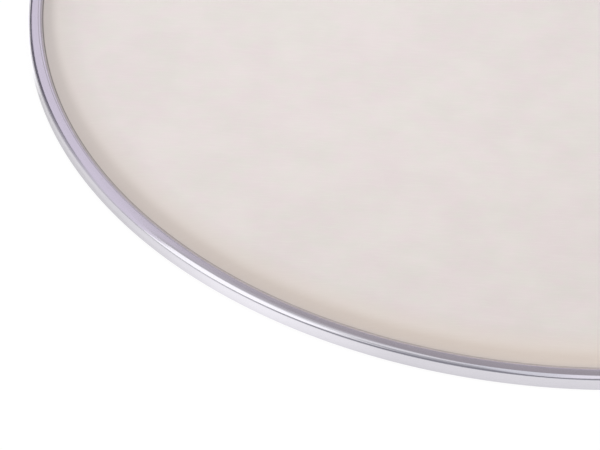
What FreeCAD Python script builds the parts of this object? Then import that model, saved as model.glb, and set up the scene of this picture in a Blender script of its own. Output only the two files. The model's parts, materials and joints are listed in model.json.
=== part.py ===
"""Drum head with an aluminium hoop, built as separate pieces round one vertical axis.

The pieces nest from the inside out. The insert ring is the core and stands on the base of
the hoop channel. The film is folded over it, with the fibre facing bonded to its playing
side. Resin fills the room that is left and keys through the film's punched margin, and
the channel closes over everything with a rounded lip. Every radius and height is a sum of
those layers, so the pieces stay seated when one size changes.

Each section is drawn in the XZ plane, with X as the radius and Y as the height above the
face that the hoop rests on, and is turned once round the vertical axis.
"""
import FreeCAD, Part
import enum
import math
import os

import Sketcher

# Driving sizes, in millimetres and degrees.
SIZES = (
    ("bore_diameter", 559.0, "inside of the insert ring, clear over a 22 inch shell"),
    ("insert_width", 6.75, "insert ring, across the radius"),
    ("insert_height", 5.3, "insert ring, along the axis"),
    ("insert_bevel", 0.8, "upper outer edge of the insert ring, which the film folds over"),
    ("film_thickness", 0.25, "polyester base film"),
    ("facing_thickness", 0.15, "fibre layer on the playing side"),
    ("facing_tuck", 1.5, "how far the facing reaches under the lip"),
    ("resin_gap", 0.65, "resin between the film's margin and the channel"),
    ("channel_wall", 0.9, "outer wall and base of the channel"),
    ("crown_radius", 3.2, "upper outer edge of the channel"),
    ("vault_bevel", 1.0, "inside of the channel, under the crown"),
    ("heel_bevel", 0.7, "lower outer edge of the channel"),
    ("lip_radius", 3.9, "upper inner edge of the channel"),
    ("lip_angle", 45, "turn of the lip from the flat top"),
    ("lip_land", 0.16, "upright face below the lip's turn"),
    ("lip_setback", 0.6, "how far the lip stands back from the bore"),
    ("lip_clearance", 0.05, "room between the lip and the facing under it"),
    ("collar_inset", 0.1, "where the film turns up, inwards from the lip"),
    ("collar_angle", 40, "slope of the steep part of the collar"),
    ("collar_length", 7.4, "steep part, along its slope"),
    ("shoulder_angle", 17, "slope of the shoulder above it"),
    ("shoulder_length", 8.6, "shoulder, along its slope"),
    ("key_count", 36, "perforations round the margin"),
    ("key_width", 6.0, "perforation, round the hoop"),
    ("key_height", 2.4, "perforation, along the axis"),
)

# Radii and heights that follow from the driving sizes.
LEVELS = (
    ("stack", "film_thickness + facing_thickness"),
    ("bore_radius", "bore_diameter / 2"),
    ("insert_outside", "bore_radius + insert_width"),
    ("channel_inside", "insert_outside + film_thickness + resin_gap"),
    ("hoop_outside", "channel_inside + channel_wall"),
    ("insert_top", "channel_wall + insert_height"),
    ("lip_under", "insert_top + stack + lip_clearance"),
    ("lip_start", "lip_under + lip_land"),
    ("hoop_top", "lip_start + lip_radius * (1 - cos(lip_angle))"),
    ("lip_nose", "bore_radius + lip_setback"),
    ("lip_middle", "lip_nose + lip_radius * sin(lip_angle)"),
    ("crown_middle", "hoop_outside - crown_radius"),
    ("crown_start", "hoop_top - crown_radius"),
    ("brim_radius", "crown_middle + crown_radius * cos(45)"),
    ("brim_height", "crown_start + crown_radius * sin(45)"),
    ("vault_radius", "channel_inside - vault_bevel"),
    ("vault_start", "lip_under - vault_bevel"),
    ("heel_start", "hoop_outside - heel_bevel"),
    ("facing_edge", "lip_nose + facing_tuck"),
    ("collar_foot", "lip_nose - collar_inset"),
    ("knee_radius", "collar_foot - collar_length * cos(collar_angle)"),
    ("knee_height", "insert_top + stack + collar_length * sin(collar_angle)"),
    ("knee_lean", "(collar_angle + shoulder_angle) / 2"),
    ("knee_spread", "1 / cos((collar_angle - shoulder_angle) / 2)"),
    ("brow_radius", "knee_radius - shoulder_length * cos(shoulder_angle)"),
    ("brow_height", "knee_height + shoulder_length * sin(shoulder_angle)"),
    ("key_base", "channel_wall + (insert_height - insert_bevel - key_height) / 2"),
    ("key_reach", "film_thickness + resin_gap / 2"),
    ("punch_start", "insert_outside - resin_gap"),
    ("punch_reach", "film_thickness + 2 * resin_gap"),
)

# The laminate's three faces, each by its depth outwards from the insert ring.
FACES = (
    ("under", "0"),
    ("bond", "film_thickness"),
    ("upper", "stack"),
)

# What a face's depth makes of each radius and height along its route.
FACE_LEVELS = (
    ("outside", "insert_outside + {depth}"),
    ("high", "insert_top + {depth}"),
    ("fold", "insert_bevel + {depth} * (1 - tan(22.5))"),
    ("drop", "insert_top + {depth} - {face}_fold"),
    ("turn", "insert_outside + {depth} - {face}_fold"),
    ("below", "stack - {depth}"),
    ("crease", "collar_foot - {face}_below * tan(collar_angle / 2)"),
    ("knee_radius", "knee_radius - {face}_below * knee_spread * sin(knee_lean)"),
    ("knee_height", "knee_height - {face}_below * knee_spread * cos(knee_lean)"),
    ("brow", "brow_radius - {face}_below * tan(shoulder_angle / 2)"),
    ("level", "brow_height - {face}_below"),
)

FULL_TURN = 360


class Place(enum.IntEnum):
    """The sketcher's own numbers for the ends of an edge and for the two axes."""

    START = 1
    END = 2
    BASE_LINE = -1
    TURN_AXIS = -2


ORIGIN = (Place.BASE_LINE, Place.START)


def all_levels():
    """Give each worked-out size as an alias and its formula."""
    yield from LEVELS
    for face, depth in FACES:
        for level, formula in FACE_LEVELS:
            yield f"{face}_{level}", formula.format(face=face, depth=depth)


def fill_sheet(doc):
    """Write the driving and worked-out sizes to the document's sheet and return it."""
    sheet = doc.addObject("Spreadsheet::Sheet", "sizes")
    rows = [(alias, str(value), meaning) for alias, value, meaning in SIZES]
    rows += [(alias, f"={formula}", "worked out") for alias, formula in all_levels()]
    for row, (alias, content, meaning) in enumerate(rows, start=1):
        sheet.set(f"A{row}", alias.replace("_", " "))
        sheet.set(f"B{row}", content)
        sheet.setAlias(f"B{row}", alias)
        sheet.set(f"C{row}", meaning)
    doc.recompute()
    return sheet


def origin_feature(body, role):
    """The plane or axis with this role in a body's own origin."""
    for feature in body.Origin.OriginFeatures:
        if feature.Role == role:
            return feature
    raise ValueError(f"no origin feature with the role {role}")


class Corner:
    """A corner of a section, by the sheet's names for its radius and its height.

    None stands for the axis as a radius, and for the base plane as a height. bend names
    the radius of the arc from here to the next corner, where that edge isn't straight.
    """

    def __init__(self, radius, height, bend=None):
        self.radius = radius
        self.height = height
        self.bend = bend


class Section:
    """A closed section in a body's sketch, whose corners and bends follow the sheet."""

    def __init__(self, body, sheet, plane="XZ_Plane"):
        self.sheet = sheet
        self.sketch = body.newObject("Sketcher::SketchObject", "section")
        self.sketch.AttachmentSupport = [(origin_feature(body, plane), "")]
        self.sketch.MapMode = "FlatFace"

    def worth(self, alias):
        """The number that the sheet gives for an alias, with None as zero."""
        return 0.0 if alias is None else float(getattr(self.sheet, alias))

    def hold(self, kind, *terms):
        """Add a constraint and return its number."""
        return self.sketch.addConstraint(Sketcher.Constraint(kind, *terms))

    def size(self, alias, kind, *terms):
        """Add a measured constraint that follows a cell of the sheet."""
        number = self.hold(kind, *terms, self.worth(alias))
        self.sketch.setExpression(f"Constraints[{number}]", f"sizes.{alias}")

    def line(self, start, end):
        """Add a straight edge and return its number."""
        return self.sketch.addGeometry(Part.LineSegment(start, end), False)

    def arc(self, start, end, radius):
        """Add an arc that turns left from start to end and return its number."""
        chord = end - start
        rise = math.sqrt(radius**2 - (chord.Length / 2) ** 2)
        inwards = FreeCAD.Vector(-chord.y, chord.x, 0).normalize()
        centre = (start + end) / 2 + inwards * rise
        first, last = (math.atan2(p.y - centre.y, p.x - centre.x) for p in (start, end))
        circle = Part.Circle(centre, FreeCAD.Vector(0, 0, 1), radius)
        return self.sketch.addGeometry(Part.ArcOfCircle(circle, first, last), False)

    def pin(self, corner, edge):
        """Hold the start of an edge at a corner's radius and height."""
        if corner.radius is None:
            self.hold("PointOnObject", edge, Place.START, Place.TURN_AXIS)
        else:
            self.size(corner.radius, "DistanceX", *ORIGIN, edge, Place.START)
        if corner.height is None:
            self.hold("PointOnObject", edge, Place.START, Place.BASE_LINE)
        else:
            self.size(corner.height, "DistanceY", *ORIGIN, edge, Place.START)

    def outline(self, corners):
        """Draw the closed outline through the corners, in anticlockwise order."""
        places = [FreeCAD.Vector(self.worth(c.radius), self.worth(c.height), 0) for c in corners]
        edges = []
        for corner, start, end in zip(corners, places, places[1:] + places[:1]):
            if corner.bend is None:
                edges.append(self.line(start, end))
            else:
                edges.append(self.arc(start, end, self.worth(corner.bend)))
        for corner, edge, following in zip(corners, edges, edges[1:] + edges[:1]):
            self.pin(corner, edge)
            self.hold("Coincident", edge, Place.END, following, Place.START)
            if corner.bend is not None:
                self.size(corner.bend, "Radius", edge)

    def rectangle(self, width, height, base):
        """Draw a rectangle that stands astride the vertical axis at a height."""
        half = self.worth(width) / 2
        low = self.worth(base)
        high = low + self.worth(height)
        corners = ((-half, low), (half, low), (half, high), (-half, high))
        places = [FreeCAD.Vector(*corner, 0) for corner in corners]
        edges = [self.line(start, end) for start, end in zip(places, places[1:] + places[:1])]
        for edge, following in zip(edges, edges[1:] + edges[:1]):
            self.hold("Coincident", edge, Place.END, following, Place.START)
        bottom, right, top, left = edges
        for upright in (right, left):
            self.hold("Vertical", upright)
        self.hold("Horizontal", top)
        self.hold("Symmetric", bottom, Place.START, bottom, Place.END, Place.TURN_AXIS)
        self.size(width, "DistanceX", bottom, Place.START, bottom, Place.END)
        self.size(height, "DistanceY", right, Place.START, right, Place.END)
        self.size(base, "DistanceY", *ORIGIN, bottom, Place.START)


def turned_body(doc, sheet, label, corners):
    """A piece made by turning one section round the vertical axis."""
    body = doc.addObject("PartDesign::Body", label)
    body.Label = label
    section = Section(body, sheet)
    section.outline(corners)
    feature = body.newObject("PartDesign::Revolution", "turned")
    feature.Profile = section.sketch
    feature.ReferenceAxis = (section.sketch, ["V_Axis"])
    feature.Angle = FULL_TURN
    return body


def at_each_key(body, sheet, kind, start, reach):
    """Add a pad or a pocket with a perforation's outline, repeated round the hoop.

    start is the radius where it begins, and reach is how far it goes outwards from there.
    """
    outline = Section(body, sheet, "YZ_Plane")
    outline.rectangle("key_width", "key_height", "key_base")
    outline.sketch.setExpression("AttachmentOffset.Base.z", f"sizes.{start}")
    feature = body.newObject(kind, "key")
    feature.Profile = outline.sketch
    feature.Reversed = kind == "PartDesign::Pocket"
    feature.setExpression("Length", f"sizes.{reach}")
    pattern = body.newObject("PartDesign::PolarPattern", "all_round")
    pattern.Originals = [feature]
    pattern.Axis = (origin_feature(body, "Z_Axis"), [""])
    pattern.Angle = FULL_TURN
    pattern.setExpression("Occurrences", "sizes.key_count")
    body.Tip = pattern


def hoop_channel(doc, sheet):
    """The channel that opens inwards: base, outer wall, rounded crown, flat top and lip.

    The crown is two arcs that meet at its brim, half-way from the wall to the flat top.
    """
    return turned_body(doc, sheet, "hoop_channel", [
        Corner("bore_radius", None),
        Corner("heel_start", None),
        Corner("hoop_outside", "heel_bevel"),
        Corner("hoop_outside", "crown_start", bend="crown_radius"),
        Corner("brim_radius", "brim_height", bend="crown_radius"),
        Corner("crown_middle", "hoop_top"),
        Corner("lip_middle", "hoop_top", bend="lip_radius"),
        Corner("lip_nose", "lip_start"),
        Corner("lip_nose", "lip_under"),
        Corner("vault_radius", "lip_under"),
        Corner("channel_inside", "vault_start"),
        Corner("channel_inside", "channel_wall"),
        Corner("bore_radius", "channel_wall"),
    ])


def insert_ring(doc, sheet):
    """The ring that the film is folded over, with its inner face as the bore."""
    return turned_body(doc, sheet, "insert_ring", [
        Corner("bore_radius", "channel_wall"),
        Corner("insert_outside", "channel_wall"),
        Corner("under_outside", "under_drop"),
        Corner("under_turn", "under_high"),
        Corner("bore_radius", "insert_top"),
    ])


def route(face):
    """The corners of a laminate face from under the lip, up the collar and to the axis."""
    return [
        Corner(f"{face}_crease", f"{face}_high"),
        Corner(f"{face}_knee_radius", f"{face}_knee_height"),
        Corner(f"{face}_brow", f"{face}_level"),
        Corner(None, f"{face}_level"),
    ]


def base_film(doc, sheet):
    """The film: playing area, collar, fold over the insert ring and punched margin."""
    body = turned_body(doc, sheet, "base_film", [
        Corner("under_outside", "channel_wall"),
        Corner("bond_outside", "channel_wall"),
        Corner("bond_outside", "bond_drop"),
        Corner("bond_turn", "bond_high"),
        *route("bond"),
        *reversed(route("under")),
        Corner("under_turn", "under_high"),
        Corner("under_outside", "under_drop"),
    ])
    at_each_key(body, sheet, "PartDesign::Pocket", "punch_start", "punch_reach")
    return body


def fibre_facing(doc, sheet):
    """The fibre layer on the playing side, whose edge is held under the lip."""
    return turned_body(doc, sheet, "fibre_facing", [
        Corner("facing_edge", "bond_high"),
        Corner("facing_edge", "upper_high"),
        *route("upper"),
        *reversed(route("bond")),
    ])


def resin_bead(doc, sheet):
    """The resin round the film's margin, with a key through each perforation."""
    body = turned_body(doc, sheet, "resin_bead", [
        Corner("bond_outside", "channel_wall"),
        Corner("channel_inside", "channel_wall"),
        Corner("channel_inside", "vault_start"),
        Corner("vault_radius", "lip_under"),
        Corner("facing_edge", "lip_under"),
        Corner("facing_edge", "bond_high"),
        Corner("bond_turn", "bond_high"),
        Corner("bond_outside", "bond_drop"),
    ])
    at_each_key(body, sheet, "PartDesign::Pad", "insert_outside", "key_reach")
    return body


def test_pieces(doc, bodies):
    """Stop if anything in the document failed or a piece isn't one sound solid."""
    for item in doc.Objects:
        if "Invalid" in item.State or "Error" in item.State:
            raise RuntimeError(f"{item.Label} failed: {item.State}")
    for body in bodies:
        shape = body.Shape
        if shape.isNull() or not shape.isValid() or len(shape.Solids) != 1:
            raise RuntimeError(f"{body.Label} is not one valid solid")


def main():
    """Build the drum head and write each piece to its own file."""
    doc = FreeCAD.newDocument("drum_head")
    sheet = fill_sheet(doc)
    makers = (hoop_channel, insert_ring, base_film, fibre_facing, resin_bead)
    bodies = [maker(doc, sheet) for maker in makers]
    doc.recompute()
    test_pieces(doc, bodies)
    os.makedirs("parts", exist_ok=True)
    for body in bodies:
        body.Shape.exportStep(f"parts/{body.Label}.step")
        print(f"{body.Label}: {body.Shape.Volume:.1f} cubic mm")


main()
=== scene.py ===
"""Drum head: an aluminium channel hoop that holds a fibre-faced film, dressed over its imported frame."""

import enum
import functools
import json
import logging
import math
from dataclasses import dataclass
from typing import ClassVar

import bmesh
import bpy
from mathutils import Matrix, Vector


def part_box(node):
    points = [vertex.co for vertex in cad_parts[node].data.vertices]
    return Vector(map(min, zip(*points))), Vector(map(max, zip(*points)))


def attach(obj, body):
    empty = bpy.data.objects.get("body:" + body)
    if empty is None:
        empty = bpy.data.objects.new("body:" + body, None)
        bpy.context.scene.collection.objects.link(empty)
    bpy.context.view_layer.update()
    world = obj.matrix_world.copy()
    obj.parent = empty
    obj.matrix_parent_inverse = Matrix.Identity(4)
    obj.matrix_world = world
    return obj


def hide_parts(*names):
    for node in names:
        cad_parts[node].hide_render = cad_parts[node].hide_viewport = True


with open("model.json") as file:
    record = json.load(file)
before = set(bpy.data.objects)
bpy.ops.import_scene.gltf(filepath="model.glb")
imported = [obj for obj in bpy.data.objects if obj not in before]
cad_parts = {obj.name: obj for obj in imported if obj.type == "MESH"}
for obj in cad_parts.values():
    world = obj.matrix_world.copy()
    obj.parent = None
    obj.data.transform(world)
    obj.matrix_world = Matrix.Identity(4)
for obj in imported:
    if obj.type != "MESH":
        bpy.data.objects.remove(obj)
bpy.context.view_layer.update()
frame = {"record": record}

Object = bpy.types.Object
Material = bpy.types.Material
Socket = bpy.types.NodeSocket
Point = tuple[float, float]
Spot = tuple[float, float, float]
Colour = tuple[float, float, float]
Feed = Socket | float | tuple[float, ...]
Feeds = dict[str | int, Feed]

MM: float = 0.001
UNIT: Point = (0.0, 1.0)
WHITE: Colour = (1.0, 1.0, 1.0)
LOG: logging.Logger = logging.getLogger("drum_head")


class KeyWork(enum.Enum):
    """What the key blocks do: punch holes in a piece, or add the resin that fills them."""

    PUNCH = "DIFFERENCE"
    FILL = "UNION"


class Ply(enum.Enum):
    """Faces of the laminate, by their depth below the playing side in metres."""

    UPPER = 0.0
    BOND = 0.15 * MM
    UNDER = 0.40 * MM


class Seen(enum.Enum):
    """Which rays meet a part of the studio."""

    BY_ALL = enum.auto()
    BY_GLOSS_ONLY = enum.auto()
    BY_MATT_ONLY = enum.auto()


@dataclass(frozen=True)
class HeadSizes:
    """Radii, levels and roundings that the pieces share, in metres."""

    bore: float
    outside: float
    top: float
    playing_level: float
    floor_level: float = 0.9 * MM
    insert_radius: float = 286.25 * MM
    insert_top: float = 6.2 * MM
    insert_bevel: float = 0.8 * MM
    bevel_angle: float = math.radians(45.0)
    fold_ease: float = 0.3 * MM
    channel_inside: float = 287.15 * MM
    inner_crown: float = 1.8 * MM
    inner_heel: float = 0.3 * MM
    lip_under: float = 6.65 * MM
    facing_edge: float = 281.6 * MM
    film_gauge: float = Ply.UNDER.value - Ply.BOND.value
    key_count: int = 36
    key_width: float = 6.0 * MM
    key_low: float = 1.95 * MM
    key_high: float = 4.35 * MM
    segments: int = 432

    @classmethod
    def of_frame(cls) -> "HeadSizes":
        """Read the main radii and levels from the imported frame.

        Returns:
            The sizes, with the hidden ones at their drawn values.
        """
        hoop_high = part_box("hoop_channel")[1]
        bores = [mount for mount in frame["record"]["mounts"] if mount["kind"] == "bore"]
        return cls(
            bore=bores[0]["dims"]["r_mm"] * MM,
            outside=hoop_high.x,
            top=hoop_high.z,
            playing_level=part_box("fibre_facing")[1].z,
        )

    @property
    def mitre(self) -> float:
        """How far the film's outer corners move along its faces where it folds over the bevel."""
        return self.film_gauge * math.tan(self.bevel_angle / 2)


@dataclass(frozen=True)
class Corner:
    """One corner of a section: radius from the axis, height, and the radius it is rounded with."""

    out: float
    high: float
    ease: float = 0.0


def add_object(name: str, data: bpy.types.ID) -> Object:
    """Make an object and link it into the scene.

    Args:
        name: Its name.
        data: Its mesh, lamp or camera.

    Returns:
        The object.
    """
    made = bpy.data.objects.new(name, data)
    bpy.context.scene.collection.objects.link(made)
    return made


class Section:
    """A closed section in radius and height, with its corners eased by arcs."""

    ARC_STEP: float = math.radians(4.0)
    FEWEST_STEPS: int = 3
    STRAIGHT: float = 1e-6

    def __init__(self, corners: list[Corner]) -> None:
        """Keep the corners, which run anticlockwise with radius to the right and height upwards."""
        self.corners = corners

    @classmethod
    def arc(cls, corner: Corner, before: Corner, after: Corner) -> list[Point]:
        """Draw one corner.

        Args:
            corner: The corner to draw.
            before: The corner that comes before it.
            after: The corner that comes after it.

        Returns:
            The corner itself where it is sharp, or else the points of its arc.
        """
        spot = Vector((corner.out, corner.high))
        inward = (spot - Vector((before.out, before.high))).normalized()
        onward = (Vector((after.out, after.high)) - spot).normalized()
        turn = math.atan2(inward.x * onward.y - inward.y * onward.x, inward.dot(onward))
        if corner.ease <= 0.0 or abs(turn) < cls.STRAIGHT:
            return [(corner.out, corner.high)]
        start = spot - inward * corner.ease * math.tan(abs(turn) / 2)
        centre = start + Vector((-inward.y, inward.x)) * math.copysign(corner.ease, turn)
        steps = max(cls.FEWEST_STEPS, math.ceil(abs(turn) / cls.ARC_STEP))
        arm = start - centre
        points = []
        for step in range(steps + 1):
            angle = turn * step / steps
            points.append((
                centre.x + arm.x * math.cos(angle) - arm.y * math.sin(angle),
                centre.y + arm.x * math.sin(angle) + arm.y * math.cos(angle),
            ))
        return points

    def points(self) -> list[Point]:
        """Draw the whole section.

        Returns:
            Its points in order, arcs included.
        """
        count = len(self.corners)
        drawn = []
        for place, corner in enumerate(self.corners):
            drawn += self.arc(corner, self.corners[place - 1], self.corners[(place + 1) % count])
        return drawn

    def loop(self, name: str, sweep_radius: float) -> Object:
        """Lay the section out as a loop of edges, ready to be swept.

        Args:
            name: Name of the object that carries the loop.
            sweep_radius: Radius that the loop's own zero stands for.

        Returns:
            The object.
        """
        points = self.points()
        count = len(points)
        mesh = bpy.data.meshes.new(name)
        mesh.from_pydata(
            [(out - sweep_radius, -high, 0.0) for out, high in points],
            [(place, (place + 1) % count) for place in range(count)],
            [],
        )
        return add_object(name, mesh)


@dataclass(frozen=True)
class Grain:
    """A noise: its features per metre, its octaves, and how strong the finer ones are."""

    scale: float
    detail: float
    rough: float = 0.5


class Graph:
    """Short calls that add and join the nodes of one tree."""

    def __init__(self, tree: bpy.types.NodeTree) -> None:
        """Start from an empty tree."""
        self.tree = tree
        tree.nodes.clear()

    @classmethod
    def of_material(cls, name: str) -> tuple[Material, "Graph"]:
        """Make a material with an empty tree.

        Args:
            name: Name of the material.

        Returns:
            The material and its nodes.
        """
        made = bpy.data.materials.new(name)
        made.use_nodes = True
        return made, cls(made.node_tree)

    def node(self, kind: str, feeds: Feeds | None = None, **settings: object) -> bpy.types.Node:
        """Add a node.

        Args:
            kind: Type name of the node.
            feeds: Values or sockets for its inputs, by name or place.
            settings: Properties to set before the inputs.

        Returns:
            The node.
        """
        made = self.tree.nodes.new(kind)
        for name, value in settings.items():
            setattr(made, name, value)
        for name, value in (feeds or {}).items():
            self.feed(made.inputs[name], value)
        return made

    def feed(self, socket: Socket, value: Feed) -> None:
        """Link a socket into an input, or set a plain value on it.

        Args:
            socket: The input.
            value: What goes into it.
        """
        if isinstance(value, Socket):
            self.tree.links.new(value, socket)
        else:
            socket.default_value = value

    @functools.cached_property
    def place(self) -> Socket:
        """Position on the object, in metres."""
        return self.node("ShaderNodeTexCoord").outputs["Object"]

    @functools.cached_property
    def parts(self) -> tuple[Socket, ...]:
        """X, Y and Z of the position."""
        return tuple(self.node("ShaderNodeSeparateXYZ", {0: self.place}).outputs)

    def polar(self) -> tuple[Socket, Socket, Socket]:
        """Turn the position into one round the head's axis.

        Returns:
            Radius, angle and height.
        """
        x, y, height = self.parts
        square = self.math("ADD", self.math("MULTIPLY", x, x), self.math("MULTIPLY", y, y))
        return self.math("SQRT", square), self.math("ARCTAN2", y, x), height

    def math(self, operation: str, *values: Feed) -> Socket:
        """Result of a Math node on the values."""
        return self.node("ShaderNodeMath", dict(enumerate(values)), operation=operation).outputs[0]

    def weigh(self, *parts: tuple[Socket, float]) -> Socket:
        """Add sockets up, each with its own weight.

        Args:
            parts: The sockets and their weights.

        Returns:
            The sum.
        """
        total: Feed = 0.0
        for value, weight in parts:
            total = self.math("MULTIPLY_ADD", value, weight, total)
        return total

    def span(self, value: Feed, source: Point, target: Point = UNIT) -> Socket:
        """Move a value from one range to another.

        Args:
            value: The value.
            source: The range it comes from.
            target: The range it goes to.

        Returns:
            The value in its new range, held inside it.
        """
        return self.node("ShaderNodeMapRange", {
            "Value": value,
            "From Min": source[0],
            "From Max": source[1],
            "To Min": target[0],
            "To Max": target[1],
        }).outputs["Result"]

    def blend(self, share: Feed, first: Feed, second: Feed) -> Socket:
        """Mix two colours.

        Args:
            share: Share of the second colour.
            first: The first colour.
            second: The second colour.

        Returns:
            The mixed colour.
        """
        made = self.node("ShaderNodeMix", {0: share}, data_type="RGBA")
        for place, colour in ((6, first), (7, second)):
            self.feed(made.inputs[place], (*colour, 1.0) if isinstance(colour, tuple) else colour)
        return made.outputs[2]

    def noise(self, vector: Feed, grain: Grain) -> Socket:
        """Read a noise.

        Args:
            vector: Where it is read.
            grain: The noise.

        Returns:
            Its value, about 0.5 in the mean.
        """
        return self.node("ShaderNodeTexNoise", {
            "Vector": vector,
            "Scale": grain.scale,
            "Detail": grain.detail,
            "Roughness": grain.rough,
        }).outputs[0]

    def bump(self, height: Feed, distance: float, strength: float) -> Socket:
        """Work a fine relief into the surface.

        Args:
            height: Height of the relief, as a share of its depth.
            distance: Its depth in metres.
            strength: Share of it that is used.

        Returns:
            The normal.
        """
        feeds = {"Height": height, "Distance": distance, "Strength": strength}
        return self.node("ShaderNodeBump", feeds).outputs[0]

    def shown(self, mirror_share: Feed = 1.0) -> Socket:
        """Find the rays that see the plain white background.

        Args:
            mirror_share: How much of it mirror and glass see.

        Returns:
            1 for camera rays, the share for mirror and glass, and 0 for the rest.
        """
        rays = self.node("ShaderNodeLightPath").outputs
        mirrored = self.math("MAXIMUM", rays["Is Glossy Ray"], rays["Is Transmission Ray"])
        return self.math("MAXIMUM", rays["Is Camera Ray"], self.math("MULTIPLY", mirrored, mirror_share))


class Recipe:
    """A geometry node tree with named inputs that turns one object into a finished mesh."""

    LABELS: dict[str, str] = {}

    def __init__(self, name: str) -> None:
        """Make the tree and its inputs, then lay out its nodes.

        Args:
            name: Name of the tree.
        """
        self.tree = bpy.data.node_groups.new(name, "GeometryNodeTree")
        sides = self.tree.interface
        sides.new_socket("Geometry", in_out="INPUT", socket_type="NodeSocketGeometry")
        sides.new_socket("Geometry", in_out="OUTPUT", socket_type="NodeSocketGeometry")
        labels = {**self.LABELS, "Material": "NodeSocketMaterial"}
        self.sockets = {
            label: sides.new_socket(label, in_out="INPUT", socket_type=kind).identifier
            for label, kind in labels.items()
        }
        self.graph = Graph(self.tree)
        self.given = self.graph.node("NodeGroupInput").outputs
        shaped = self.shape()
        real = self.graph.node("GeometryNodeRealizeInstances", {"Geometry": shaped})
        dressed = self.graph.node("GeometryNodeSetMaterial", {
            "Geometry": real.outputs[0],
            "Material": self.given["Material"],
        })
        self.graph.node("NodeGroupOutput", {"Geometry": dressed.outputs[0]})

    def shape(self) -> Socket:
        """Geometry that the tree makes, before it is realised and dressed."""
        raise NotImplementedError

    def run(self, source: Object, name: str, **values: object) -> Object:
        """Run the tree on an object, which the result replaces.

        Args:
            source: Object that the tree starts from.
            name: Name of the result.
            values: Inputs of the tree, by label with underscores for spaces.

        Returns:
            A plain mesh object at the origin.
        """
        modifier = source.modifiers.new(self.tree.name, "NODES")
        modifier.node_group = self.tree
        for label, value in values.items():
            modifier[self.sockets[label.replace("_", " ")]] = value
        graph = bpy.context.evaluated_depsgraph_get()
        mesh = bpy.data.meshes.new_from_object(source.evaluated_get(graph))
        source.modifiers.remove(modifier)
        bpy.data.objects.remove(source)
        mesh.name = name
        return add_object(name, mesh)


class TurnedRing(Recipe):
    """Sweeps a loop of edges round the head's axis."""

    LABELS = {"Sweep Radius": "NodeSocketFloat", "Segments": "NodeSocketInt"}
    POLE_WELD: float = 2e-6

    def shape(self) -> Socket:
        """Sweep the section round a circle and merge its pole.

        Returns:
            The swept geometry.
        """
        add = self.graph.node
        circle = add("GeometryNodeCurvePrimitiveCircle", {
            "Resolution": self.given["Segments"],
            "Radius": self.given["Sweep Radius"],
        })
        upright = add("GeometryNodeSetCurveNormal", {"Curve": circle.outputs[0]}, mode="Z_UP")
        section = add("GeometryNodeMeshToCurve", {"Mesh": self.given["Geometry"]})
        swept = add("GeometryNodeCurveToMesh", {
            "Curve": upright.outputs[0],
            "Profile Curve": section.outputs[0],
        })
        merged = add("GeometryNodeMergeByDistance", {
            "Geometry": swept.outputs[0],
            "Distance": self.POLE_WELD,
        })
        return add("GeometryNodeSetShadeSmooth", {"Geometry": merged.outputs[0]}).outputs[0]


class KeyedMargin(Recipe):
    """Punches a ring of evenly spaced slots through a turned piece, or fills them."""

    LABELS = {
        "Count": "NodeSocketInt",
        "Radius": "NodeSocketFloat",
        "Level": "NodeSocketFloat",
        "Block": "NodeSocketVector",
    }

    def __init__(self, name: str, work: KeyWork) -> None:
        """Keep what the blocks do, then make the tree."""
        self.work = work
        super().__init__(name)

    def shape(self) -> Socket:
        """Set the blocks in a ring, and punch the piece with them or join them to it.

        Returns:
            The punched or filled geometry.
        """
        add = self.graph.node
        ring = add("GeometryNodeMeshCircle", {
            "Vertices": self.given["Count"],
            "Radius": self.given["Radius"],
        })
        lift = add("ShaderNodeCombineXYZ", {"Z": self.given["Level"]})
        raised = add("GeometryNodeSetPosition", {"Geometry": ring.outputs[0], "Offset": lift.outputs[0]})
        place = add("GeometryNodeInputIndex").outputs[0]
        turn = self.graph.math("DIVIDE", self.graph.math("MULTIPLY", place, math.tau), self.given["Count"])
        block = add("GeometryNodeMeshCube", {"Size": self.given["Block"]})
        blocks = add("GeometryNodeInstanceOnPoints", {
            "Points": raised.outputs[0],
            "Instance": block.outputs[0],
            "Rotation": add("ShaderNodeCombineXYZ", {"Z": turn}).outputs[0],
        })
        real = add("GeometryNodeRealizeInstances", {"Geometry": blocks.outputs[0]})
        keyed = add("GeometryNodeMeshBoolean", operation=self.work.value)
        piece_input = "Mesh 1" if self.work is KeyWork.PUNCH else "Mesh 2"
        self.graph.feed(keyed.inputs[piece_input], self.given["Geometry"])
        self.graph.feed(keyed.inputs["Mesh 2"], real.outputs[0])
        return keyed.outputs[0]


@dataclass(frozen=True)
class Finish:
    """A surface made of nodes."""

    name: str

    def material(self) -> Material:
        """Make the material.

        Returns:
            The material.
        """
        made, graph = Graph.of_material(self.name)
        shader = graph.node("ShaderNodeBsdfPrincipled", self.paint(graph))
        graph.node("ShaderNodeOutputMaterial", {"Surface": shader.outputs[0]})
        return made

    def paint(self, graph: Graph) -> Feeds:
        """Lay out the finish's own nodes.

        Args:
            graph: The material's nodes.

        Returns:
            What goes into the shader, by the name of its input.
        """
        raise NotImplementedError


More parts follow.
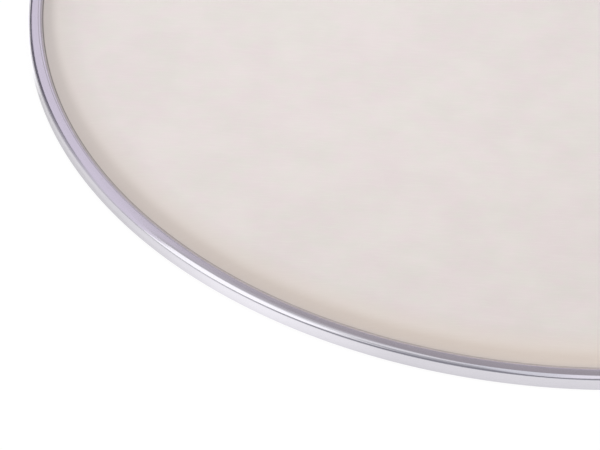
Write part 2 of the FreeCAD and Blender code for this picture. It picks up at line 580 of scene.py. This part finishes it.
@dataclass(frozen=True)
class RolledMetal(Finish):
    """Aluminium with fine lines along the direction it was rolled in, round the head."""

    dull: Colour
    bright: Colour
    gloss: Point
    lines_across: float = 9000.0
    lines_along: float = 30.0
    line: Grain = Grain(1.0, 3.0, 0.6)
    line_share: float = 0.6
    cloud: Grain = Grain(26.0, 3.0)
    tone_range: Point = (0.3, 0.7)
    scuff: Grain = Grain(420.0, 2.0)
    scuff_range: Point = (0.60, 0.78)
    scuff_wear: float = 0.05
    seam_angle: float = math.radians(64.0)
    seam_reach: Point = (0.5 * MM, 0.1 * MM)
    seam_tint: float = 0.35
    seam_wear: float = 0.2
    seam_groove: float = 1.5
    # Painted shade: a dark tone on the lip's inner edge where it meets the film, set by radius and height;
    # that band is also a little rougher.
    lip_edge_shade_radii: Point = (280.5 * MM, 280.3 * MM)
    lip_edge_shade_heights: Point = (6.3 * MM, 6.6 * MM)
    lip_edge_shade_tone: Colour = (0.30, 0.28, 0.29)
    lip_edge_shade_roughness: float = 0.12
    relief: float = 0.25
    relief_depth: float = 0.004 * MM

    def paint(self, graph: Graph) -> Feeds:
        """Lay out rolled lines, slow changes of tone, the dressed weld and painted shade on the lip's inner
        edge, where it meets the film.

        Args:
            graph: The material's nodes.

        Returns:
            What goes into the shader, by the name of its input.
        """
        radius, angle, height = graph.polar()
        drawn = graph.node("ShaderNodeCombineXYZ", {
            0: graph.math("MULTIPLY", radius, self.lines_across),
            1: graph.math("MULTIPLY", height, self.lines_across),
            2: graph.math("MULTIPLY", angle, self.lines_along),
        }).outputs[0]
        line = graph.noise(drawn, self.line)
        cloud = graph.noise(graph.place, self.cloud)
        scuff = graph.span(graph.noise(graph.place, self.scuff), self.scuff_range)
        off_seam = graph.math("ABSOLUTE", graph.math("SUBTRACT", angle, self.seam_angle))
        seam = graph.span(graph.math("MULTIPLY", off_seam, radius), self.seam_reach)
        # Mask of the painted shade on the lip's inner edge.
        lip_edge_shade = graph.math("MULTIPLY", graph.span(radius, self.lip_edge_shade_radii), graph.span(height, self.lip_edge_shade_heights))
        tone = graph.weigh((line, self.line_share), (cloud, 1.0 - self.line_share))
        colour = graph.blend(graph.span(tone, self.tone_range), self.dull, self.bright)
        colour = graph.blend(graph.math("MULTIPLY", seam, self.seam_tint), colour, self.dull)
        wear = graph.weigh((scuff, self.scuff_wear), (seam, self.seam_wear), (lip_edge_shade, self.lip_edge_shade_roughness))
        grooved = graph.weigh((line, 1.0), (seam, -self.seam_groove))
        return {
            # The painted shade on the lip's inner edge darkens the colour here.
            "Base Color": graph.blend(lip_edge_shade, colour, self.lip_edge_shade_tone),
            "Metallic": 1.0,
            "Roughness": graph.math("ADD", wear, graph.span(tone, self.tone_range, self.gloss)),
            "Normal": graph.bump(grooved, self.relief_depth, self.relief),
        }


FIBRE_CLUMPS: Grain = Grain(110.0, 4.0, 0.62)


@dataclass(frozen=True)
class FibreFelt(Finish):
    """Warm white fibre layer: short fibres that lie in every direction and gather in faint clumps."""

    warm: Colour = (0.790, 0.717, 0.723)
    cool: Colour = (0.768, 0.736, 0.708)
    clump_share: float = 0.7
    patch: Grain = Grain(30.0, 2.0)
    cast_range: Point = (0.40, 0.60)
    pale: Colour = (0.93, 0.90, 0.87)
    cloud: Grain = Grain(42.0, 3.0)
    cloud_range: Point = (0.35, 0.65)
    cloudiness: Point = (0.0, 0.18)
    # Painted light: a lighter, warmer tone laid across the collar's band of radius.
    collar_light_tone: Colour = (0.852, 0.788, 0.755)
    collar: Point = (264.0 * MM, 276.0 * MM)
    # Painted shade: a dark tone in the crease where the film meets the hoop's lip, over the band of radius
    # below.
    root: Colour = (0.30, 0.27, 0.265)
    crease_shade_band: Point = (279.75 * MM, 280.0 * MM)
    directions: tuple[float, ...] = (0.0, 37.0, 74.0, 109.0, 146.0)
    fibre: Grain = Grain(1.0, 1.5)
    fibre_scale: Spot = (70.0, 1300.0, 1.0)
    fibre_shift: Spot = (0.01, 0.02, 0.0)
    fibre_range: Point = (0.60, 0.72)
    fibre_tint: float = 0.10
    matt: Point = (0.58, 0.46)
    gleam: float = 0.3
    relief: float = 0.25
    relief_depth: float = 0.03 * MM

    def paint(self, graph: Graph) -> Feeds:
        """Lay out clumps, pale clouds, fibres, painted light on the collar and painted shade in the crease
        at its base.

        Args:
            graph: The material's nodes.

        Returns:
            What goes into the shader, by the name of its input.
        """
        radius = graph.polar()[0]
        clump = graph.noise(graph.place, FIBRE_CLUMPS)
        patch = graph.noise(graph.place, self.patch)
        fibre = self.fibres(graph)
        cast = graph.weigh((clump, self.clump_share), (patch, 1.0 - self.clump_share))
        colour = graph.blend(graph.span(cast, self.cast_range), self.warm, self.cool)
        cloud = graph.span(graph.noise(graph.place, self.cloud), self.cloud_range, self.cloudiness)
        colour = graph.blend(cloud, colour, self.pale)
        # Painted light on the collar.
        colour = graph.blend(graph.span(radius, self.collar), colour, self.collar_light_tone)
        # Painted shade in the crease at the collar's base.
        colour = graph.blend(graph.span(radius, self.crease_shade_band), colour, self.root)
        return {
            "Base Color": graph.blend(graph.math("MULTIPLY", fibre, self.fibre_tint), colour, self.pale),
            "Roughness": graph.span(fibre, UNIT, self.matt),
            "Specular IOR Level": self.gleam,
            "Normal": graph.bump(fibre, self.relief_depth, self.relief),
        }

    def fibres(self, graph: Graph) -> Socket:
        """Lay fibres in all directions.

        Args:
            graph: The material's nodes.

        Returns:
            How much fibre lies at each place, from 0 to 1.
        """
        total: Feed = 0.0
        for turn in self.directions:
            laid = graph.node("ShaderNodeMapping", {
                "Vector": graph.place,
                "Location": tuple(turn * shift for shift in self.fibre_shift),
                "Rotation": (0.0, 0.0, math.radians(turn)),
                "Scale": self.fibre_scale,
            }).outputs[0]
            ridge = graph.span(graph.noise(laid, self.fibre), self.fibre_range)
            total = graph.math("MAXIMUM", ridge, total)
        return total


@dataclass(frozen=True)
class ClearFilm(Finish):
    """Glossy polyester that shows the fibre layer it is bonded to."""

    clear: Colour = (0.79, 0.765, 0.73)
    milky: Colour = (0.74, 0.725, 0.68)
    clump_range: Point = (0.35, 0.65)
    wave: Grain = Grain(9.0, 2.0)
    wave_range: Point = (0.3, 0.7)
    gloss: Point = (0.14, 0.22)
    relief: float = 0.1
    relief_depth: float = 0.2 * MM

    def paint(self, graph: Graph) -> Feeds:
        """Lay out faint clumps seen through the film, under a smooth face.

        Args:
            graph: The material's nodes.

        Returns:
            What goes into the shader, by the name of its input.
        """
        clump = graph.span(graph.noise(graph.place, FIBRE_CLUMPS), self.clump_range)
        wave = graph.noise(graph.place, self.wave)
        return {
            "Base Color": graph.blend(clump, self.clear, self.milky),
            "Roughness": graph.span(wave, self.wave_range, self.gloss),
            "Normal": graph.bump(wave, self.relief_depth, self.relief),
        }


@dataclass(frozen=True)
class SetResin(Finish):
    """Amber resin with small bubbles."""

    thin: Colour = (0.62, 0.45, 0.20)
    thick: Colour = (0.40, 0.25, 0.09)
    cloud: Grain = Grain(160.0, 3.0)
    cloud_range: Point = (0.3, 0.7)
    gloss: Point = (0.25, 0.42)
    bubbles: float = 900.0
    bubble_size: Point = (0.0, 0.25)
    relief: float = 0.4
    relief_depth: float = 0.05 * MM

    def paint(self, graph: Graph) -> Feeds:
        """Lay out cloudy amber and a surface of small pits.

        Args:
            graph: The material's nodes.

        Returns:
            What goes into the shader, by the name of its input.
        """
        cloud = graph.noise(graph.place, self.cloud)
        cells = graph.node("ShaderNodeTexVoronoi", {"Vector": graph.place, "Scale": self.bubbles})
        pitted = graph.span(cells.outputs["Distance"], self.bubble_size)
        return {
            "Base Color": graph.blend(cloud, self.thin, self.thick),
            "Roughness": graph.span(cloud, self.cloud_range, self.gloss),
            "Normal": graph.bump(pitted, self.relief_depth, self.relief),
        }


@dataclass
class SubAssembly:
    """Pieces that belong together, with what they need to stand in for their CAD nodes."""

    WELD: ClassVar[float] = 1e-7
    SLIVER: ClassVar[float] = 1e-8
    SHARP: ClassVar[float] = math.radians(28.0)

    sizes: HeadSizes
    turned: TurnedRing

    def turn(self, node: str, section: Section, finish: Material) -> Object:
        """Sweep a section round the axis.

        Args:
            node: Name of the piece.
            section: Its section.
            finish: Its material.

        Returns:
            The swept piece.
        """
        return self.turned.run(
            section.loop(node + "_section", self.sizes.bore),
            node + "_visual",
            Sweep_Radius=self.sizes.bore,
            Segments=self.sizes.segments,
            Material=finish,
        )

    def key(self, whole: Object, margin: KeyedMargin, radius: float, depth: float) -> Object:
        """Punch the ring of slots in a turned piece, or fill them.

        Args:
            whole: The turned piece, which the result replaces.
            margin: What the key blocks do.
            radius: Radius of the blocks' middles.
            depth: How far a block reaches along the radius.

        Returns:
            The keyed piece.
        """
        size = self.sizes
        return margin.run(
            whole,
            whole.name,
            Count=size.key_count,
            Radius=radius,
            Level=(size.key_low + size.key_high) / 2,
            Block=(depth, size.key_width, size.key_high - size.key_low),
            Material=whole.data.materials[0],
        )

    def fit(self, piece: Object, node: str, slot: str) -> Object:
        """Clean a piece, and put it in the frame in place of its CAD node.

        Args:
            piece: The built piece.
            node: CAD node that it replaces.
            slot: Material slot of that node; not used.

        Returns:
            The finished piece.
        """
        form = bmesh.new()
        form.from_mesh(piece.data)
        bmesh.ops.remove_doubles(form, verts=form.verts, dist=self.WELD)
        bmesh.ops.dissolve_degenerate(form, edges=form.edges, dist=self.SLIVER)
        stray = [edge for edge in form.edges if not edge.link_faces]
        bmesh.ops.delete(form, geom=stray, context="EDGES")
        bmesh.ops.recalc_face_normals(form, faces=form.faces)
        form.to_mesh(piece.data)
        form.free()
        piece.data.set_sharp_from_angle(angle=self.SHARP)
        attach(piece, "root")
        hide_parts(node)
        return piece


@dataclass
class Hoop(SubAssembly):
    """The channel that shows, and the ring inside it that the film's margin is folded over."""

    crown: float = 3.2 * MM
    heel: float = 0.7 * MM
    lip: float = 3.9 * MM
    lip_face: float = 280.1 * MM
    lip_land_top: float = 6.81 * MM
    lip_bend: float = 281.24 * MM
    bore_break: float = 0.15 * MM
    edge_break: float = 0.1 * MM
    lip_break: float = 0.05 * MM

    def channel(self, finish: Material) -> Object:
        """Build the channel: base, outer wall, rounded crown, flat top and rolled lip.

        Args:
            finish: Its material.

        Returns:
            The finished piece.
        """
        size = self.sizes
        section = Section([
            Corner(size.bore, 0.0, self.bore_break),
            Corner(size.outside, 0.0, self.heel),
            Corner(size.outside, size.top, self.crown),
            Corner(self.lip_bend, size.top, self.lip),
            Corner(self.lip_face, self.lip_land_top, self.edge_break),
            Corner(self.lip_face, size.lip_under, self.lip_break),
            Corner(size.channel_inside, size.lip_under, size.inner_crown),
            Corner(size.channel_inside, size.floor_level, size.inner_heel),
            Corner(size.bore, size.floor_level, self.edge_break),
        ])
        return self.fit(self.turn("hoop_channel", section, finish), "hoop_channel", "hoop")

    def insert(self, finish: Material) -> Object:
        """Build the ring inside the channel.

        Args:
            finish: Its material.

        Returns:
            The finished piece.
        """
        size = self.sizes
        section = Section([
            Corner(size.bore, size.floor_level, self.bore_break),
            Corner(size.insert_radius, size.floor_level, self.edge_break),
            Corner(size.insert_radius, size.insert_top - size.insert_bevel, size.fold_ease),
            Corner(size.insert_radius - size.insert_bevel, size.insert_top, size.fold_ease),
            Corner(size.bore, size.insert_top, self.bore_break),
        ])
        return self.fit(self.turn("insert_ring", section, finish), "insert_ring", "insert")


@dataclass
class Laminate(SubAssembly):
    """Film and fibre facing, which share one formed collar."""

    crease_out: float = 280.0 * MM
    crease_level: float = 6.6 * MM
    knee_out: float = 274.331 * MM
    knee_level: float = 11.357 * MM
    brow_out: float = 266.107 * MM
    crease_ease: float = 0.5 * MM
    knee_ease: float = 12.0 * MM
    brow_ease: float = 36.0 * MM
    rings_mm: tuple[float, ...] = (255.0, 235.0, 200.0, 150.0, 100.0, 50.0, 15.0)
    punch_depth: float = 1.0 * MM

    def dome(self, ply: Ply) -> list[Corner]:
        """Draw one face, from the crease to the axis.

        Args:
            ply: The face.

        Returns:
            Corners that follow the playing side at the face's depth.
        """
        depth = ply.value
        upper = [
            (self.sizes.facing_edge, self.crease_level),
            (self.crease_out, self.crease_level),
            (self.knee_out, self.knee_level),
            (self.brow_out, self.sizes.playing_level),
            (0.0, self.sizes.playing_level),
        ]
        eases = (self.crease_ease + depth, self.knee_ease - depth, self.brow_ease - depth)
        corners = []
        for place, ease in enumerate(eases, start=1):
            spot = Vector(upper[place])
            inward = (spot - Vector(upper[place - 1])).normalized()
            onward = (Vector(upper[place + 1]) - spot).normalized()
            below = (Vector((-inward.y, inward.x)) + Vector((-onward.y, onward.x))).normalized()
            reach = depth / below.dot(Vector((-inward.y, inward.x)))
            corners.append(Corner(*(spot + below * reach), ease))
        flat = self.sizes.playing_level - depth
        return corners + [Corner(ring * MM, flat) for ring in self.rings_mm] + [Corner(0.0, flat)]

    def facing(self, finish: Material) -> Object:
        """Build the fibre facing, which ends under the hoop's lip.

        Args:
            finish: Its material.

        Returns:
            The finished piece.
        """
        edge = self.sizes.facing_edge
        section = Section([
            Corner(edge, self.crease_level - Ply.BOND.value),
            Corner(edge, self.crease_level),
            *self.dome(Ply.UPPER),
            *reversed(self.dome(Ply.BOND)),
        ])
        return self.fit(self.turn("fibre_facing", section, finish), "fibre_facing", "facing")

    def film(self, finish: Material, punch: KeyedMargin) -> Object:
        """Build the film, with its margin folded over the insert ring and punched.

        Args:
            finish: Its material.
            punch: Cuts the slots.

        Returns:
            The finished piece.
        """
        size = self.sizes
        gauge = size.film_gauge
        outer_ease = size.fold_ease + gauge
        low_turn = size.insert_top - size.insert_bevel
        high_turn = size.insert_radius - size.insert_bevel
        section = Section([
            Corner(size.insert_radius, size.floor_level),
            Corner(size.insert_radius + gauge, size.floor_level),
            Corner(size.insert_radius + gauge, low_turn + size.mitre, outer_ease),
            Corner(high_turn + size.mitre, size.insert_top + gauge, outer_ease),
            *self.dome(Ply.BOND),
            *reversed(self.dome(Ply.UNDER)),
            Corner(high_turn, size.insert_top, size.fold_ease),
            Corner(size.insert_radius, low_turn, size.fold_ease),
        ])
        whole = self.turn("base_film", section, finish)
        punched = self.key(whole, punch, size.insert_radius + gauge / 2, self.punch_depth)
        return self.fit(punched, "base_film", "film")


@dataclass
class Bond(SubAssembly):
    """Resin that fills the channel round the margin and keys through it."""

    key_depth: float = 0.5 * MM

    def bead(self, finish: Material, fill: KeyedMargin) -> Object:
        """Build the bead and the keys that pass through the film's slots.

        Args:
            finish: Its material.
            fill: Adds the keys.

        Returns:
            The finished piece.
        """
        size = self.sizes
        film_out = size.insert_radius + size.film_gauge
        film_top = size.insert_top + size.film_gauge
        bevel = size.insert_bevel - size.film_gauge + size.mitre
        section = Section([
            Corner(film_out, size.floor_level),
            Corner(size.channel_inside, size.floor_level, size.inner_heel),
            Corner(size.channel_inside, size.lip_under, size.inner_crown),
            Corner(size.facing_edge, size.lip_under),
            Corner(size.facing_edge, film_top),
            Corner(size.insert_radius - bevel, film_top),
            Corner(film_out, size.insert_top - bevel),
        ])
        whole = self.turn("resin_bead", section, finish)
        filled = self.key(whole, fill, film_out, self.key_depth)
        return self.fit(filled, "resin_bead", "resin")


@dataclass(frozen=True)
class Card:
    """A flat part of the studio: a floor, or a panel that the metal mirrors."""

    name: str
    corners: tuple[Spot, ...]
    colour: Colour
    strength: float = 1.0
    seen: Seen = Seen.BY_GLOSS_ONLY

    def place(self, faces: list[tuple[int, ...]] | None = None) -> None:
        """Put the card up.

        Args:
            faces: Faces of a folded card; a plain card is one face.
        """
        mesh = bpy.data.meshes.new(self.name)
        mesh.from_pydata(self.corners, [], faces or [tuple(range(len(self.corners)))])
        mesh.materials.append(self.material())
        made = add_object(self.name, mesh)
        if self.seen is not Seen.BY_ALL:
            made.visible_camera = False
            made.visible_transmission = False
            made.visible_shadow = False
            made.visible_diffuse = self.seen is Seen.BY_MATT_ONLY
            made.visible_glossy = self.seen is Seen.BY_GLOSS_ONLY

    def material(self) -> Material:
        """Make the card's light.

        Returns:
            A material that glows in the card's colour.
        """
        made, graph = Graph.of_material(self.name)
        glow = graph.node("ShaderNodeEmission", {"Color": self.tint(graph), "Strength": self.strength})
        graph.node("ShaderNodeOutputMaterial", {"Surface": glow.outputs[0]})
        return made

    def tint(self, graph: Graph) -> Feed:
        """Colour of the card, the same all over."""
        return (*self.colour, 1.0)


@dataclass(frozen=True)
class FadedCard(Card):
    """A card whose colour fades into another one along Y."""

    far_colour: Colour = WHITE
    fade: Point = UNIT

    def tint(self, graph: Graph) -> Feed:
        """Colour of the card, faded from one into the other."""
        return graph.blend(graph.span(graph.parts[1], self.fade), self.colour, self.far_colour)


@dataclass(frozen=True)
class Pool:
    """Light or shade that only the metal mirrors in the floor: middle, fading reach and gain."""

    middle: Spot
    reach: Point
    gain: float


@dataclass(frozen=True)
class WhiteFloor(Card):
    """A white floor that keeps soft shadows and can be seen through from below."""

    glow_share: float = 0.9
    # Painted reflection: the share of the floor's white that mirror rays see changes from the front edge to
    # further back.
    near_far: Point = (-0.26, -0.08)
    mirror_share: Point = (0.83, 0.45)
    pools: tuple[Pool, ...] = (
        Pool((-0.165, -0.255, 0.0), (0.02, 0.09), 0.32),
        Pool((-0.297, -0.045, 0.0), (0.03, 0.055), 1.3),
        Pool((-0.33, -0.075, 0.0), (0.02, 0.05), -2.6),
    )

    def material(self) -> Material:
        """Make the white that camera, mirror and glass see, over a matt white that takes shadows.

        Returns:
            The material, which is clear from below.
        """
        made, graph = Graph.of_material(self.name)
        matt = graph.node("ShaderNodeBsdfDiffuse", {"Color": self.tint(graph)})
        strength = self.brightness(graph)
        glow = graph.node("ShaderNodeEmission", {"Color": (*WHITE, 1.0), "Strength": strength})
        mirrored = graph.span(graph.parts[1], self.near_far, self.mirror_share)
        share = graph.math("MULTIPLY", graph.shown(mirrored), self.glow_share)
        top = graph.node("ShaderNodeMixShader", {0: share, 1: matt.outputs[0], 2: glow.outputs[0]})
        clear = graph.node("ShaderNodeBsdfTransparent")
        below = graph.node("ShaderNodeNewGeometry").outputs["Backfacing"]
        sides = graph.node("ShaderNodeMixShader", {0: below, 1: top.outputs[0], 2: clear.outputs[0]})
        graph.node("ShaderNodeOutputMaterial", {"Surface": sides.outputs[0]})
        return made

    def brightness(self, graph: Graph) -> Socket:
        """Work out the strength of the floor's white, with its pools for mirror rays.

        Args:
            graph: The floor's nodes.

        Returns:
            The strength.
        """
        mirror = graph.node("ShaderNodeLightPath").outputs["Is Glossy Ray"]
        total: Feed = self.strength
        for pool in self.pools:
            off = graph.node("ShaderNodeVectorMath", {0: graph.place, 1: pool.middle}, operation="DISTANCE")
            lit = graph.span(off.outputs["Value"], pool.reach, (pool.gain, 0.0))
            total = graph.math("MULTIPLY_ADD", lit, mirror, total)
        return graph.math("MAXIMUM", total, 0.0)


@dataclass(frozen=True)
class Skirting:
    """A dark band where the floor ends in front, which runs out at the sides and dips in the middle."""

    colour: Colour = (0.32, 0.32, 0.35)
    reach: float = 1.3
    steps: int = 40
    floor_gap: float = 0.01
    lift: float = 0.14
    side_height: float = 0.05
    side_taper: float = 4.0
    front_height: float = 0.80
    dip: float = 0.6
    dip_width: float = 0.17

    def edges(self, front: float, side: float) -> Point:
        """Work out the band's lower and upper edge.

        Args:
            front: How far the place lies to the front, from 0 to 1.
            side: How far it lies to the right, from -1 to 1.

        Returns:
            The two levels.
        """
        low = self.floor_gap + self.lift * math.sqrt(front)
        kept = 1.0 - self.dip * math.exp(-((side / self.dip_width) ** 2))
        rise = self.side_height * min(1.0, self.side_taper * front) + self.front_height * kept * front**3
        return low, low + rise

    def place(self) -> None:
        """Put the band up as a half ring of upright faces."""
        corners = []
        for step in range(self.steps + 1):
            angle = -math.pi * step / self.steps
            side = math.cos(angle)
            ahead = math.sin(angle)
            for height in self.edges(abs(ahead), side):
                corners.append((self.reach * side, self.reach * ahead, height))
        faces = [(2 * step, 2 * step + 2, 2 * step + 3, 2 * step + 1) for step in range(self.steps)]
        Card("skirting", tuple(corners), self.colour).place(faces)


def oblong(low: Point, high: Point) -> tuple[Point, ...]:
    """Outline of a rectangle between two corners."""
    return low, (high[0], low[1]), high, (low[0], high[1])


def level(height: float, *outline: Point) -> tuple[Spot, ...]:
    """Corners of a level card at a height, from an outline in X and Y."""
    return tuple((x, y, height) for x, y in outline)


def across(depth: float, *outline: Point) -> tuple[Spot, ...]:
    """Corners of an upright card that faces front and back, from an outline in X and Z."""
    return tuple((x, depth, z) for x, z in outline)


def along(side: float, *outline: Point) -> tuple[Spot, ...]:
    """Corners of an upright card that faces the sides, from an outline in Y and Z."""
    return tuple((side, y, z) for y, z in outline)


# Planes of the studio in metres, and the colour of its bright walls
CEILING: float = 2.2
HUNG: float = 2.19
BACK: float = 3.0
FAR: float = 10.0
LEFT: float = -4.0
LILAC: Colour = (0.84, 0.78, 0.89)

PANELS: tuple[Card, ...] = (
    Card("ceiling", level(CEILING, *oblong((-0.5, -0.45), (4, 2.4))), (0.44, 0.41, 0.43)),
    Card(
        "ceiling_left",
        level(CEILING, (-3.2, -1.2), (-0.5, -1.2), (-0.5, 2.3), (-0.86, 1.6), (-1.35, 0.98),
              (-2.05, 0.45), (-3.2, -0.3)),
        (0.58, 0.56, 0.58),
    ),
    Card("front_sky", level(CEILING, *oblong((-0.5, -3.4), (4, -0.45))), (0.85, 0.86, 0.90)),
    Card("front_window", level(HUNG, *oblong((0, -3.4), (1.2, -0.45))), (0.98, 0.95, 1.0), 1.1),
    Card(
        "back_wall",
        across(BACK, (-4, 2.9), (-3.2, 2.25), (-1.5, 1.85), (-0.6, 1.8), (-0.45, 2.7), (0.6, 2.7),
               (0.6, 3.2), (-1.5, 4.6), (-4, 8)),
        LILAC,
    ),
    Card(
        "low_wall",
        across(BACK, (-4, 0.06), (-3.8, 0.1), (-3.6, 0.75), (-3, 0.8), (-0.6, 0.1), (-0.6, 1.8),
               (-1.5, 1.85), (-3.2, 2.25), (-4, 2.9)),
        (0.16, 0.15, 0.18),
    ),
    Card(
        "left_wall",
        along(LEFT, (3, 2.9), (1.9, 2.7), (1.3, 2.3), (0.2, 1.4), (-0.6, 1.3), (-0.6, 6), (3, 8)),
        LILAC,
    ),
    FadedCard(
        "low_left",
        along(LEFT, (3, 0.06), (-0.6, 0.06), (-0.6, 1.3), (0.2, 1.4), (1.3, 2.3), (1.9, 2.7), (3, 2.9)),
        (0.18, 0.17, 0.20),
        far_colour=(0.74, 0.72, 0.77),
        fade=(2.4, 0.56),
    ),
    Card("corner_wall", across(BACK, *oblong((0.6, 1.75), (5, 2.8))), (0.64, 0.60, 0.63)),
    Card(
        "low_corner",
        across(BACK, (-0.6, 0.1), (5, 0.1), (5, 1.75), (0.6, 1.75), (0.6, 1.5), (-0.6, 1.5)),
        (0.52, 0.485, 0.50),
    ),
    Card("far_wall", across(FAR, *oblong((-3, 4), (0.08, 10))), (0.50, 0.47, 0.49)),
    Card("far_window", across(FAR, *oblong((0.08, 4), (4, 10))), LILAC),
    Card(
        "side_light",
        along(-1.4, (-1.4, 0.3), (-0.3, 0.3), (-0.27, 0.85), (0.32, 1.75), (0.45, 2.2), (-1.4, 2.2)),
        WHITE,
        1.4,
    ),
    Card(
        "ceiling_light",
        level(HUNG, (-1.4, -1.2), (-0.5, -1.2), (-0.5, -0.15), (-0.88, 0.05), (-1.15, 0.24), (-1.4, 0.45)),
        (0.92, 0.92, 0.93),
    ),
    Card("front_left_sky", level(CEILING, *oblong((-1.7, -3.4), (-0.5, -1.2))), (0.52, 0.52, 0.54)),
    Card(
        "left_flag",
        ((-2.6, 0.6, 0), (-1.2, -1.9, 0), (-1.2, -1.9, 3.2), (-2.6, 0.6, 3.2)),
        (0.03, 0.03, 0.06),
        seen=Seen.BY_MATT_ONLY,
    ),
    Card(
        "front_flag",
        across(-1.8, *oblong((-1.2, 0), (2.5, 1.4))),
        (0.80, 0.63, 0.42),
        seen=Seen.BY_MATT_ONLY,
    ),
)


@dataclass
class Studio:
    """White room with soft light, the cards that the hoop mirrors, and the camera."""

    radius: float
    floor_reach: float = 6.0
    floor_colour: Colour = (0.9, 0.9, 0.9)
    floor_glow: float = 1.05
    ambient: float = 0.63
    key_power: float = 32.0
    key_place: Spot = (1.5, 0.2, 3.0)
    key_size: float = 1.6
    fill_power: float = 0.35
    fill_place: Spot = (-0.17, -0.06, 0.4)
    fill_size: float = 0.24
    distance: float = 7.2145
    elevation: float = math.radians(37.236)
    pan: float = math.radians(-5.12)
    tilt: float = math.radians(40.386)
    lens: float = 240.0
    sensor: float = 36.0
    sight: float = 100.0

    def room(self) -> None:
        """Put up the floor, the panels and the white surroundings."""
        reach = self.floor_reach
        ground = level(0.0, *oblong((-reach, -reach), (reach, reach)))
        WhiteFloor("floor", ground, self.floor_colour, self.floor_glow, Seen.BY_ALL).place()
        for panel in PANELS:
            panel.place()
        Skirting().place()
        world = bpy.data.worlds.new("room")
        bpy.context.scene.world = world
        world.use_nodes = True
        graph = Graph(world.node_tree)
        shown = graph.shown()
        soft = graph.node("ShaderNodeBackground", {"Color": (*WHITE, 1.0), "Strength": self.ambient})
        white = graph.node("ShaderNodeBackground", {"Color": (*WHITE, 1.0), "Strength": 1.0})
        both = graph.node("ShaderNodeMixShader", {0: shown, 1: soft.outputs[0], 2: white.outputs[0]})
        graph.node("ShaderNodeOutputWorld", {"Surface": both.outputs[0]})

    def light(self) -> None:
        """Hang two soft lamps: a broad one high up to the right, and a small one close over the film."""
        self.lamp("key", self.key_power, self.key_size, Vector(self.key_place), Vector())
        near = Vector(self.fill_place)
        self.lamp("fill", self.fill_power, self.fill_size, near, Vector((near.x, near.y, 0.0)))

    @staticmethod
    def lamp(name: str, power: float, size: float, place: Vector, aim: Vector) -> None:
        """Put up a round lamp that matt surfaces see.

        Args:
            name: Name of the lamp.
            power: Power in watts.
            size: Diameter in metres.
            place: Where it hangs.
            aim: The point it faces.
        """
        data = bpy.data.lights.new(name, "AREA")
        data.energy = power
        data.shape = "DISK"
        data.size = size
        made = add_object(name, data)
        made.location = place
        made.rotation_euler = (aim - place).to_track_quat("-Z", "Y").to_euler()
        made.visible_glossy = False

    def camera(self) -> None:
        """Set up a long lens that looks down on the near left of the head."""
        data = bpy.data.cameras.new("camera")
        data.lens = self.lens
        data.sensor_width = self.sensor
        data.clip_end = self.sight
        made = add_object("camera", data)
        reach = self.distance * self.radius
        made.location = (0.0, -reach * math.cos(self.elevation), reach * math.sin(self.elevation))
        ahead = Vector((
            math.sin(self.pan) * math.cos(self.tilt),
            math.cos(self.pan) * math.cos(self.tilt),
            -math.sin(self.tilt),
        ))
        made.rotation_euler = ahead.to_track_quat("-Z", "Y").to_euler()
        bpy.context.scene.camera = made
        bpy.context.scene.view_settings.view_transform = "Standard"


def main() -> None:
    """Build the head and report its pieces, then set up the studio round it."""
    logging.basicConfig(level=logging.INFO, format="%(name)s %(message)s")
    sizes = HeadSizes.of_frame()
    turned = TurnedRing("turned_ring")
    bright = RolledMetal("bright_hoop", (0.68, 0.665, 0.715), (0.73, 0.715, 0.765), (0.10, 0.17))
    mill = RolledMetal("mill_insert", (0.56, 0.56, 0.57), (0.66, 0.66, 0.67), (0.32, 0.44))
    hoop = Hoop(sizes, turned)
    skin = Laminate(sizes, turned)
    bond = Bond(sizes, turned)
    pieces = (
        hoop.channel(bright.material()),
        hoop.insert(mill.material()),
        skin.film(ClearFilm("clear_film").material(), KeyedMargin("punched_margin", KeyWork.PUNCH)),
        skin.facing(FibreFelt("fibre_felt").material()),
        bond.bead(SetResin("set_resin").material(), KeyedMargin("filled_margin", KeyWork.FILL)),
    )
    for piece in pieces:
        triangles = sum(len(face.vertices) - 2 for face in piece.data.polygons)
        LOG.info("%s: %d triangles", piece.name, triangles)
    studio = Studio(sizes.outside)
    studio.room()
    studio.light()
    studio.camera()


if __name__ == "__main__":
    main()
